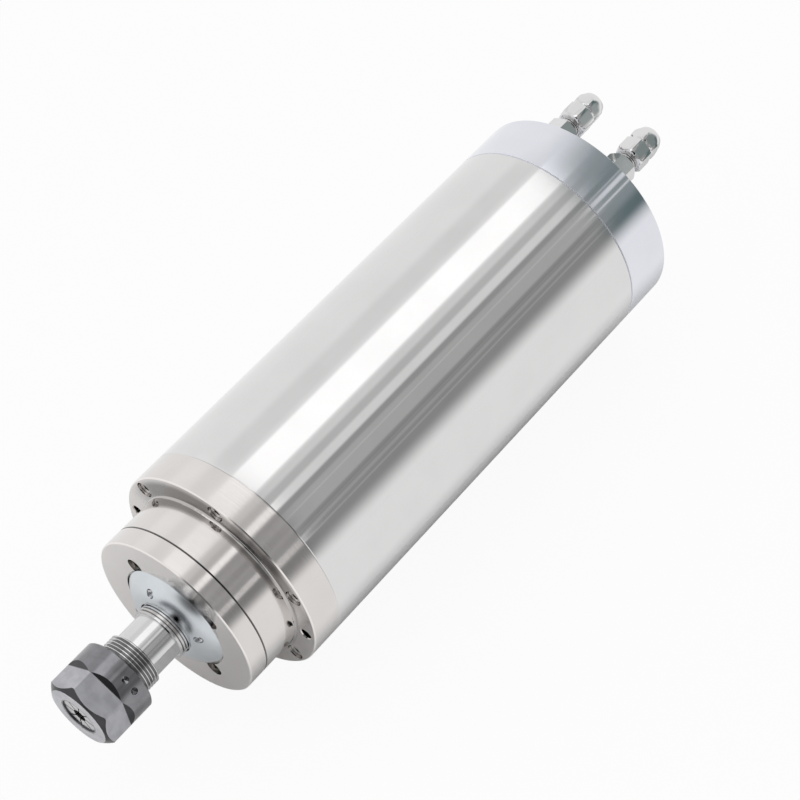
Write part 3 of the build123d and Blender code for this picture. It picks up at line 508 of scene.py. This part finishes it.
@dataclass(frozen=True)
class SocketScrew:
    """Socket head screw with a serrated rim, a hexagon socket and a rolled thread."""

    shank_radius: float
    head_radius: float
    head_length: float
    length: float
    socket_flats: float
    socket_depth: float
    pitch: float
    faces_front: bool = True
    sunk: float = 0.0
    ribs: int = 24
    segments: int = 48

    def mesh(self, name: str) -> bpy.types.Mesh:
        """Makes the screw on the Y axis, with its head's face at Y = 0.

        Args:
            name: The mesh's name.

        Returns:
            The screw's mesh.
        """
        chamfer = 0.1 * self.head_radius
        edge = round_at(self.head_radius - chamfer)
        rim = ribbed_at(self.head_radius, 0.02 * self.head_radius, self.ribs)
        socket = hexagon_at(self.socket_flats)
        mouth = round_at(1.03 * self.socket_flats / math.sqrt(3))
        mouth_depth = 0.04 * self.head_radius
        drill_point = 1.15 * self.socket_depth
        nothing = round_at(0.0)
        rings = [(drill_point, nothing), (self.socket_depth, socket), (mouth_depth, socket), (0.0, mouth),
                 (0.0, edge), (chamfer, rim), (self.head_length - 0.5 * chamfer, rim),
                 (self.head_length, edge), (self.head_length, round_at(self.shank_radius))]
        depth = 0.6 * self.pitch
        place = self.head_length + self.pitch
        while place < self.length - self.pitch:
            rings += [(place, round_at(self.shank_radius)),
                      (place + 0.5 * self.pitch, round_at(self.shank_radius - depth))]
            place += self.pitch
        rings += [(place, round_at(self.shank_radius)), (self.length, round_at(self.shank_radius - depth)),
                  (self.length, nothing)]
        way = 1.0 if self.faces_front else -1.0
        return loft(name, [(way * at, profile) for at, profile in rings], self.segments)


class CopyRing:
    """Geometry Nodes tree that sets copies of one piece round a circle, each turned by chance."""

    INPUTS = {"Count": "NodeSocketInt", "Circle": "NodeSocketFloat", "First angle": "NodeSocketFloat",
              "Centre": "NodeSocketVector", "Seed": "NodeSocketInt", "Finish": "NodeSocketMaterial"}

    def __init__(self) -> None:
        """Builds the tree."""
        self.tree = bpy.data.node_groups.new("copy_ring", "GeometryNodeTree")
        face = self.tree.interface
        face.new_socket("Geometry", in_out="INPUT", socket_type="NodeSocketGeometry")
        face.new_socket("Geometry", in_out="OUTPUT", socket_type="NodeSocketGeometry")
        self.keys = {name: face.new_socket(name, in_out="INPUT", socket_type=kind).identifier
                     for name, kind in self.INPUTS.items()}
        bench = Bench(self.tree)
        given = bench.node("NodeGroupInput", out="Geometry")
        step = bench.node("GeometryNodeInputIndex") * TURN / given.other("Count")
        place = step + given.other("First angle")
        spot = bench.vector(bench.maths("COSINE", place) * given.other("Circle"), 0.0,
                            bench.maths("SINE", place) * given.other("Circle"))
        moved = bench.node("ShaderNodeVectorMath", {"operation": "ADD"}, {0: spot, 1: given.other("Centre")})
        points = bench.node("GeometryNodePoints", inputs={"Count": given.other("Count"), "Position": moved})
        chance = bench.node("FunctionNodeRandomValue", {"data_type": "FLOAT"},
                            {2: 0.0, 3: TURN, "Seed": given.other("Seed")}, out=1)
        clocked = bench.node("FunctionNodeEulerToRotation", inputs={0: bench.vector(0.0, chance, 0.0)})
        copies = bench.node("GeometryNodeInstanceOnPoints", inputs={
            "Points": points, "Instance": given, "Rotation": clocked})
        solid = bench.node("GeometryNodeRealizeInstances", inputs={0: copies})
        painted = bench.node("GeometryNodeSetMaterial", inputs={
            "Geometry": solid, "Material": given.other("Finish")})
        bench.node("NodeGroupOutput", inputs={0: painted})

    def grow(self, name: str, mesh: bpy.types.Mesh, values: dict[str, Any]) -> bpy.types.Object:
        """Sets the copies and makes them one plain mesh.

        Args:
            name: The piece's name.
            mesh: The shape that is copied.
            values: A value for each named input.

        Returns:
            The piece, with no modifier left.
        """
        piece = bpy.data.objects.new(name, mesh)
        bpy.context.scene.collection.objects.link(piece)
        modifier = piece.modifiers.new("ring", "NODES")
        modifier.node_group = self.tree
        for key, value in values.items():
            modifier[self.keys[key]] = value
        live = piece.evaluated_get(bpy.context.evaluated_depsgraph_get())
        made = bpy.data.meshes.new_from_object(live)
        piece.modifiers.clear()
        piece.data = made
        made.name = name
        return piece


@dataclass
class ScrewRing:
    """The screws of one cover, which stand for one node of the model."""

    node: str
    body: str
    screw: SocketScrew
    count: int
    circle: float
    first_angle: float
    finish: Finish
    seed: int
    centre: Place = (0.0, 0.0)

    def build(self, ring: CopyRing) -> bpy.types.Object:
        """Makes the screws and puts them in the node's place.

        Args:
            ring: The tree that copies them.

        Returns:
            The piece.
        """
        low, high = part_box(self.node)
        face = low.y + self.screw.sunk if self.screw.faces_front else high.y - self.screw.sunk
        piece = ring.grow(self.node + "_detail", self.screw.mesh(self.node), {
            "Count": self.count, "Circle": self.circle, "First angle": math.radians(self.first_angle),
            "Centre": (self.centre[0], face, self.centre[1]), "Seed": self.seed,
            "Finish": paintshop.material(self.finish)})
        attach(piece, self.body)
        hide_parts(self.node)
        log.info("%s: %d screws, %d faces", piece.name, self.count, len(piece.data.polygons))
        return piece


@dataclass
class Casing:
    """Flange, nose, covers and body tube, with their screws."""

    flange_circle: float = 45 * MM
    cap_circle: float = 27.5 * MM
    cover_circle: float = 18.5 * MM
    m4: SocketScrew = SocketScrew(2 * MM, 3.5 * MM, 3.2 * MM, 34 * MM, 3 * MM, 1.8 * MM, 0.7 * MM,
                                  sunk=0.8 * MM)
    m2: SocketScrew = SocketScrew(1 * MM, 1.7 * MM, 1.2 * MM, 6.6 * MM, 1.5 * MM, 0.7 * MM, 0.4 * MM)

    def screws(self, node: str, screw: SocketScrew) -> SocketScrew:
        """A screw as long as the node's own."""
        low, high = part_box(node)
        return replace(screw, length=high.y - low.y - screw.sunk)

    def build(self, ring: CopyRing) -> None:
        """Dresses the shells and sets the screws.

        Args:
            ring: The tree that copies the screws.
        """
        paintshop.dress(GROUND_STEEL, "body_tube")
        paintshop.dress(TURNED_STEEL, "front_housing", "front_cap")
        paintshop.dress(COVER_ALUMINIUM, "dust_cover")
        paintshop.dress(CAP_ALUMINIUM, "rear_cap")
        rear_m4 = replace(self.m4, faces_front=False)
        for node, screw, count, circle, first_angle, finish, seed in (
                ("flange_screws", self.m4, 6, self.flange_circle, 30.0, DARK_STEEL, 3),
                ("front_cap_screws", self.m4, 4, self.cap_circle, 45.0, DARK_STEEL, 5),
                ("rear_cap_screws", rear_m4, 6, self.flange_circle, 30.0, DARK_STEEL, 7),
                ("dust_cover_screws", self.m2, 4, self.cover_circle, 25.0, BRIGHT_STEEL, 9)):
            fitted = self.screws(node, screw)
            ScrewRing(node, "housing", fitted, count, circle, first_angle, finish, seed).build(ring)


@dataclass
class Motor:
    """Stator, jacket, rotor and the leads to the connector."""

    def build(self) -> None:
        """Dresses the motor's pieces."""
        paintshop.dress(CAST_ALUMINIUM, "cooling_jacket", "rotor_cage")
        paintshop.dress(RUBBER, "jacket_seals")
        paintshop.dress(LAMINATIONS, "stator_core", "rotor_core")
        paintshop.dress(COPPER, "stator_windings")
        paintshop.dress(INSULATION, "motor_leads")


@dataclass
class Bearings:
    """Both bearing pairs with what holds them."""

    def build(self) -> None:
        """Dresses the bearings' pieces."""
        for end in ("front", "rear"):
            paintshop.dress(BEARING_STEEL, end + "_outer_races", end + "_inner_races", end + "_balls",
                            end + "_outer_spacer", end + "_inner_spacer")
            paintshop.dress(PHENOLIC, end + "_cages")
            paintshop.dress(INNER_STEEL, end + "_lock_nut")
        paintshop.dress(INNER_STEEL, "rear_bearing_housing")
        paintshop.dress(SPRING_STEEL, "preload_spring")


@dataclass
class Chuck:
    """Shaft nose, collet and collet nut."""

    def build(self) -> None:
        """Dresses the chuck's pieces."""
        paintshop.dress(SHAFT_STEEL, "shaft")
        paintshop.dress(COLLET_STEEL, "collet")
        paintshop.dress(NUT_STEEL, "collet_nut")


@dataclass
class HoseNut:
    """Compression nut of a water fitting: a hexagon in two tiers with a waist, bored for the hose."""

    end: str
    centre: Place
    flats: float = 13 * MM
    slim_flats: float = 12.5 * MM
    waist: float = 6.2 * MM
    face: float = 5.2 * MM
    neck_bore: float = 4.65 * MM
    ferrule_bore: float = 5.15 * MM
    hose_bore: float = 4.4 * MM
    ferrule_start: float = 4.9 * MM
    hose_start: float = 10.7 * MM
    chamfer_length: float = 0.6 * MM
    chamfer_height: float = 0.3 * MM
    turn: float = 18.0
    segments: int = 72

    def rings(self, start: float, end: float) -> list[tuple[float, Profile]]:
        """The nut's outline, from its front face outside to its rear end and back through the bore.

        Args:
            start: Place of the front face along Y.
            end: Place of the rear end.

        Returns:
            Place and profile of each ring.
        """
        wide, slim = self.flats, self.slim_flats
        steps = [
            # front face and the wide tier with its turned corners
            (0.0, round_at(self.face)), (0.5, turned_hexagon_at(wide, 6.2 * MM)),
            (1.1, turned_hexagon_at(wide, 6.9 * MM)), (1.8, hexagon_at(wide)), (8.3, hexagon_at(wide)),
            (8.8, turned_hexagon_at(wide, 7.0 * MM)),
            # waist
            (9.2, round_at(self.waist)), (9.8, round_at(self.waist)),
            # slim tier, which narrows to the rear
            (10.2, turned_hexagon_at(slim, 6.8 * MM)), (10.7, hexagon_at(slim)), (13.4, hexagon_at(slim)),
            (14.8, turned_hexagon_at(slim, 6.75 * MM)), (16.3, turned_hexagon_at(slim, 6.1 * MM))]
        outside = [(start + place * MM, profile) for place, profile in steps]
        ferrule, hose = start + self.ferrule_start, start + self.hose_start
        ends = [(end - self.chamfer_length, self.face + self.chamfer_height), (end, self.face),
                (end, self.hose_bore), (hose, self.hose_bore), (hose, self.ferrule_bore),
                (ferrule, self.ferrule_bore), (ferrule, self.neck_bore), (start, self.neck_bore),
                (start, self.face)]
        return outside + [(place, round_at(radius)) for place, radius in ends]

    def build(self, finish: Finish) -> bpy.types.Object:
        """Makes the nut and puts it in the place of the model's node.

        Args:
            finish: What it is finished with.

        Returns:
            The piece.
        """
        node = self.end + "_hose_nut"
        low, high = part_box(node)
        mesh = loft(node + "_detail", self.rings(low.y, high.y), self.segments)
        x, z = self.centre
        angle = math.atan2(z, x) + math.radians(self.turn)
        mesh.transform(Matrix.Translation((x, 0, z)) @ Matrix.Rotation(-angle, 4, "Y"))
        mesh.materials.append(paintshop.material(finish))
        piece = bpy.data.objects.new(node + "_detail", mesh)
        bpy.context.scene.collection.objects.link(piece)
        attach(piece, node)
        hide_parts(node)
        log.info("%s: %d faces", piece.name, len(mesh.polygons))
        return piece


@dataclass
class RearConnections:
    """Water fittings and the power connector."""

    connector_spacing: float = 18 * MM
    m3: SocketScrew = SocketScrew(1.5 * MM, 2.6 * MM, 1.8 * MM, 9 * MM, 2 * MM, 1 * MM, 0.5 * MM, False)

    def middle(self, node: str) -> Place:
        """X and Z of a node's middle."""
        low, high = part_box(node)
        return (low.x + high.x) / 2, (low.z + high.z) / 2

    def build(self, ring: CopyRing) -> None:
        """Dresses the fittings and the connector, and sets its screws.

        Args:
            ring: The tree that copies the screws.
        """
        for end in ("inlet", "outlet"):
            centre = self.middle(end + "_washer")
            nickel = replace(NICKEL, name="nickel_" + end, centre=centre)
            paintshop.dress(nickel, end + "_fitting")
            HoseNut(end, centre).build(nickel)
            copper = replace(WASHER_COPPER, name="washer_copper_" + end, centre=centre)
            paintshop.dress(copper, end + "_washer")
            brass = replace(BRASS, name="ferrule_brass_" + end, centre=centre)
            paintshop.dress(brass, end + "_ferrule")
        centre = self.middle("connector_shell")
        paintshop.dress(replace(NICKEL, name="nickel_connector", centre=centre), "connector_shell")
        paintshop.dress(PLASTIC, "connector_insert")
        paintshop.dress(replace(BRASS, name="pin_brass", centre=centre), "connector_pins")
        circle = self.connector_spacing / math.sqrt(2)
        screws = ScrewRing("connector_screws", "housing", self.m3, 4, circle, 45.0, BRIGHT_STEEL, 11, centre)
        screws.build(ring)


@dataclass(frozen=True)
class Band:
    """A dark or bright card that runs beside the spindle, between two angles round its axis.

    Angles and blurs are degrees, and the change is what it adds to the light.
    """

    low: float
    high: float
    low_blur: float
    high_blur: float
    change: float

    def light(self, bench: Bench, angle: Wire) -> Wire:
        """Lights one card.

        Args:
            bench: The world's bench.
            angle: Angle that the light comes from.

        Returns:
            What the card adds to it.
        """
        begun = bench.ease(angle, self.low - self.low_blur, self.low + self.low_blur)
        ended = bench.ease(angle, self.high - self.high_blur, self.high + self.high_blur, 1.0, 0.0)
        return begun * ended * self.change


@dataclass
class Studio:
    """Pale floor, soft light and the camera at the photograph's angle."""

    floor_level: float = -50 * MM
    floor_size: float = 6.0
    floor_glow: float = 0.93
    mirrored_glow: float = 0.84
    # painted shadow: distance from the axis over which the floor's glow in reflections fades in
    painted_shadow_span: Span = (40 * MM, 106 * MM)
    floor_paint: tuple[float, float, float, float] = (0.95, 0.95, 0.95, 1.0)
    base_light: float = 0.95
    end_slopes: Span = (0.75, 0.97)
    side_cards: tuple[Band, ...] = (
        Band(14.5, 41, 11, 1.5, -0.64), Band(30, 31.5, 0.5, 0.5, 0.10), Band(35, 38, 1.0, 1.0, 0.09),
        Band(41, 69.5, 1.5, 1.5, -0.47), Band(41, 45, 0.5, 1.5, -0.17), Band(57, 58, 0.4, 0.4, 0.10),
        Band(63.5, 69.5, 1.5, 1.5, -0.12), Band(70, 78, 1.0, 1.5, -0.13), Band(78, 86, 1.5, 2.0, -0.37),
        Band(86, 94, 2.0, 2.0, -0.16), Band(96, 123.5, 1.5, 2.0, 0.42), Band(128, 150, 4.0, 6.0, -0.11))
    rear_cards: tuple[Band, ...] = (
        Band(14.5, 115, 11, 32, -0.64), Band(20, 36, 6, 6, -0.14), Band(48, 50, 0.5, 0.5, 0.42),
        Band(55, 59.5, 0.7, 0.7, 0.45), Band(62, 63, 0.4, 0.4, 0.25), Band(63.5, 77, 1, 4, -0.06))
    front_cards: tuple[Band, ...] = (
        Band(13, 69.5, 5.5, 1.2, -0.61), Band(19, 30, 3, 0.8, -0.12), Band(30.5, 37, 0.8, 0.8, 0.56),
        Band(39, 47, 1, 3, 0.05), Band(48, 56, 2, 2, -0.09), Band(70, 77.5, 0.8, 0.8, 0.42),
        Band(77.5, 86, 0.8, 2.0, -0.38), Band(86, 94, 2.0, 3.0, -0.30), Band(95, 101, 2, 3, -0.12),
        Band(101, 119, 3, 4, -0.04), Band(146, 172, 5, 5, 0.10))
    rear_seam: Place = (216 * MM, 50 * MM)
    flange_seam: Place = (15 * MM, 50 * MM)
    nose_end: Place = (-29 * MM, 40 * MM)
    seam_blur: float = 0.0012
    rear_tint: float = 0.06
    front_way: Vector = field(default_factory=lambda: Vector((0.167, -0.895, 0.411)))
    front_size: Span = (24.0, 15.0)
    front_change: float = -0.78
    aim: Vector = field(default_factory=lambda: Vector((4.0, 110.95, 0.0)) * MM)
    distance: float = 940.3 * MM
    direction: Vector = field(default_factory=lambda: Vector((0.3557, -0.4444, 0.8222)))
    roll: float = -1.5
    focal_pixels: float = 2212.9
    frame_pixels: float = 800.0
    sensor: float = 36.0
    sight: float = 20.0

    def camera_place(self) -> Matrix:
        """Works out where the photograph was taken from.

        Returns:
            The camera's place and direction.
        """
        back = self.direction.normalized()
        right = Vector((0, 0, 1)).cross(back).normalized()
        axes = Matrix((right, back.cross(right), back)).transposed().to_4x4()
        stand = Matrix.Translation(self.aim + back * self.distance) @ axes
        return Matrix.Rotation(math.radians(self.roll), 4, "Y") @ stand

    def beyond(self, bench: Bench, angle: Wire, slope: Wire, seam: Place) -> Wire:
        """Tells the light that a round piece behind a seam returns to the camera from the rest.

        Args:
            bench: The world's bench.
            angle: Angle that the light comes from.
            slope: Its slope along Y.
            seam: Place along Y and radius of the seam.

        Returns:
            1 for light returned behind the seam, and 0 in front of it.
        """
        place, radius = seam
        eye = self.camera_place().translation
        height = math.hypot(eye.x, eye.z)
        run = place - eye.y
        turn = math.atan2(eye.z, eye.x)
        half_way = (angle * math.radians(1.0) - turn) * 0.5
        reach = height ** 2 + radius ** 2 + run ** 2
        square = reach - bench.maths("COSINE", half_way) * (2 * radius * height)
        return bench.ease(slope - run / square ** 0.5, -self.seam_blur, self.seam_blur)

    def sum_of(self, bench: Bench, angle: Wire, cards: Sequence[Band]) -> Wire:
        """Adds up several cards.

        Args:
            bench: The world's bench.
            angle: Angle that the light comes from.
            cards: The cards.

        Returns:
            What they add to the light from that angle.
        """
        total = cards[0].light(bench, angle)
        for card in cards[1:]:
            total = total + card.light(bench, angle)
        return total

    def build_world(self) -> None:
        """Lights the scene with pale surroundings and cards along the spindle."""
        world = bpy.data.worlds.new("studio")
        bpy.context.scene.world = world
        world.use_nodes = True
        world.node_tree.nodes.clear()
        bench = Bench(world.node_tree)
        way = bench.node("ShaderNodeTexCoord", out="Generated")
        x = bench.node("ShaderNodeSeparateXYZ", inputs={0: way})
        slope = x.other("Y")
        angle = bench.maths("ARCTAN2", x.other("Z"), x) * math.degrees(1.0)
        behind = self.beyond(bench, angle, slope, self.rear_seam)
        nose = self.beyond(bench, angle, slope, self.nose_end)
        ahead = nose * (1 - self.beyond(bench, angle, slope, self.flange_seam))
        sides = self.sum_of(bench, angle, self.side_cards) * (1 - behind) * (1 - ahead)
        sides = sides + self.sum_of(bench, angle, self.front_cards) * ahead
        rear = self.sum_of(bench, angle, self.rear_cards) * behind
        ends = bench.ease(bench.maths("ABSOLUTE", slope), *self.end_slopes, 1.0, 0.0)
        nearness = bench.node("ShaderNodeVectorMath", {"operation": "DOT_PRODUCT"}, {
            0: way, 1: self.front_way.normalized()}, out="Value")
        wide, tight = (math.cos(math.radians(size)) for size in self.front_size)
        front = bench.ease(nearness, wide, tight) * self.front_change
        light = self.base_light + (sides + rear) * ends + front
        warm = light + rear * ends * self.rear_tint
        shader = bench.node("ShaderNodeBackground", inputs={
            "Color": bench.vector(warm, light, light), "Strength": 1.0})
        bench.node("ShaderNodeOutputWorld", inputs={"Surface": shader})

    def build_floor(self) -> None:
        """Lays the floor, which looks white and keeps the spindle's shadow, with a painted shadow along the
        spindle in what reflections see of it.
        """
        half = self.floor_size / 2
        mesh = bpy.data.meshes.new("floor")
        corners = [(-half, -half), (half, -half), (half, half), (-half, half)]
        mesh.from_pydata([(x, y, self.floor_level) for x, y in corners], [], [(0, 1, 2, 3)])
        floor = bpy.data.objects.new("floor", mesh)
        bpy.context.scene.collection.objects.link(floor)
        material = bpy.data.materials.new("floor")
        material.use_nodes = True
        material.node_tree.nodes.clear()
        bench = Bench(material.node_tree)
        path = bench.node("ShaderNodeLightPath", out="Is Camera Ray")
        mirrored = bench.maths("MAXIMUM", path.other("Is Glossy Ray"), path.other("Is Transmission Ray"))
        spot = bench.node("ShaderNodeTexCoord", out="Object")
        place = bench.node("ShaderNodeSeparateXYZ", inputs={0: spot})
        # painted shadow: the floor's glow in reflections fades towards the spindle
        outside_painted_shadow = bench.ease(bench.maths("ABSOLUTE", place), *self.painted_shadow_span)
        glow_share = bench.maths(
            "MAXIMUM", path * self.floor_glow, mirrored * outside_painted_shadow * self.mirrored_glow)
        paint = bench.node("ShaderNodeBsdfDiffuse", inputs={"Color": self.floor_paint})
        glow = bench.node("ShaderNodeEmission", inputs={"Color": (1.0, 1.0, 1.0, 1.0), "Strength": 1.0})
        both = bench.node("ShaderNodeMixShader", inputs={0: glow_share, 1: paint, 2: glow})
        bench.node("ShaderNodeOutputMaterial", inputs={"Surface": both})
        mesh.materials.append(material)

    def build_camera(self) -> None:
        """Sets the camera where the photograph was taken from."""
        data = bpy.data.cameras.new("camera")
        data.sensor_width = self.sensor
        data.lens = self.focal_pixels * self.sensor / self.frame_pixels
        data.clip_end = self.sight
        camera = bpy.data.objects.new("camera", data)
        camera.matrix_world = self.camera_place()
        bpy.context.scene.collection.objects.link(camera)
        bpy.context.scene.camera = camera

    def build(self) -> None:
        """Builds world, floor and camera."""
        self.build_world()
        self.build_floor()
        self.build_camera()
        bpy.context.scene.view_settings.view_transform = "Standard"


def main() -> None:
    """Builds the sub-assemblies in order, then the studio."""
    logging.basicConfig(level=logging.INFO, format="%(message)s")
    ring = CopyRing()
    Casing().build(ring)
    Motor().build()
    Bearings().build()
    Chuck().build()
    RearConnections().build(ring)
    Studio().build()


if __name__ == "__main__":
    main()
